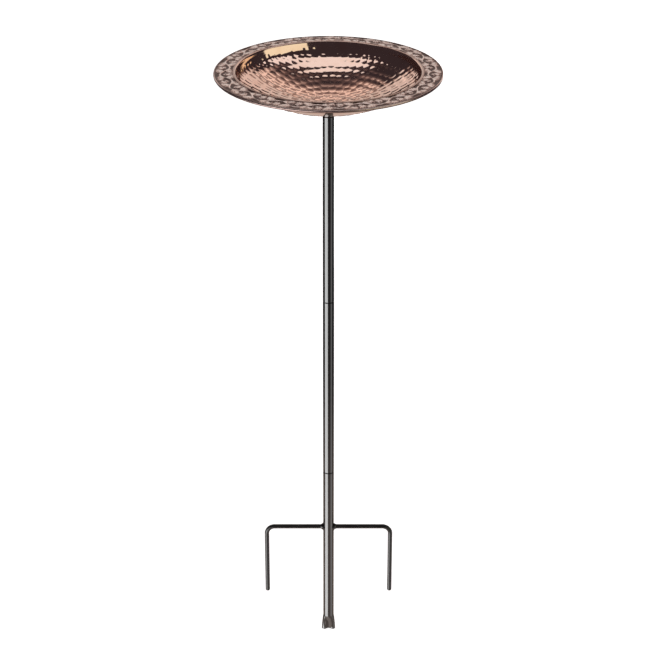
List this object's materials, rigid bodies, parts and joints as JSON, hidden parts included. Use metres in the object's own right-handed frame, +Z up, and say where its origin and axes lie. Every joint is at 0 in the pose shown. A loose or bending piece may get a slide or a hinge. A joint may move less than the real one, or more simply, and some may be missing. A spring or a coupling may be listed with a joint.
{
  "type": "bird bath",
  "caption": "Hammered copper bowl with an embossed rim, screwed onto a black steel garden stake that unscrews into sections and ends in a pinched tip with two ground prongs.",
  "frame": {"origin": "on the stake's axis at ground level, which is the underside of the prongs' crossbar when the foot is pushed fully into the soil", "axes": "+Z up along the stake; +X to the right along the crossbar; -Y towards the viewer"},
  "size_m": [0.3682, 0.3682, 1.0696],
  "materials": {
    "hammered_copper": "polished",
    "copper_mount": "satin",
    "plated_steel": "satin",
    "black_rubber": "matte",
    "black_nylon": "satin",
    "black_coated_tube": "gloss",
    "black_coated_rod": "gloss",
    "black_coated_weld": "gloss"
  },
  "bodies": {
    "lower_section": {"lower_tube": "black_coated_tube", "lower_tube_top_insert": "plated_steel", "prong_left": "black_coated_rod", "prong_right": "black_coated_rod", "prong_weld_left": "black_coated_weld", "prong_weld_right": "black_coated_weld"},
    "lower_washer": {"lower_joint_washer": "black_nylon"},
    "middle_section": {"middle_tube": "black_coated_tube", "middle_tube_top_insert": "plated_steel", "middle_tube_bottom_plug": "plated_steel", "lower_joint_stud": "plated_steel"},
    "upper_washer": {"upper_joint_washer": "black_nylon"},
    "upper_section": {"upper_tube": "black_coated_tube", "upper_tube_top_insert": "plated_steel", "upper_tube_bottom_plug": "plated_steel", "upper_joint_stud": "plated_steel"},
    "bowl_washer": {"top_washer": "black_rubber"},
    "bowl": {"bowl": "hammered_copper", "bowl_mount_flange": "copper_mount", "bowl_stud": "plated_steel"}
  },
  "joints": [
    {"name": "lower_joint_lift", "type": "slide", "parent": "lower_section", "child": "lower_washer", "axis": [0, 0, 1], "range_m": [0, 0.018]},
    {"name": "lower_joint_screw", "type": "hinge", "parent": "lower_washer", "child": "middle_section", "pos_m": [0, 0, 0.11737], "axis": [0, 0, 1], "range_deg": [0, 4320]},
    {"name": "upper_joint_lift", "type": "slide", "parent": "middle_section", "child": "upper_washer", "axis": [0, 0, 1], "range_m": [0, 0.018]},
    {"name": "upper_joint_screw", "type": "hinge", "parent": "upper_washer", "child": "upper_section", "pos_m": [0, 0, 0.44837], "axis": [0, 0, 1], "range_deg": [0, 4320]},
    {"name": "bowl_joint_lift", "type": "slide", "parent": "upper_section", "child": "bowl_washer", "axis": [0, 0, 1], "range_m": [0, 0.018]},
    {"name": "bowl_joint_screw", "type": "hinge", "parent": "bowl_washer", "child": "bowl", "pos_m": [0, 0, 0.77937], "axis": [0, 0, 1], "range_deg": [0, 4320]}
  ],
  "couplings": [
    {"joint": "lower_joint_lift", "follows": "lower_joint_screw", "m_per_rad": 0.00023873},
    {"joint": "upper_joint_lift", "follows": "upper_joint_screw", "m_per_rad": 0.00023873},
    {"joint": "bowl_joint_lift", "follows": "bowl_joint_screw", "m_per_rad": 0.00023873}
  ]
}
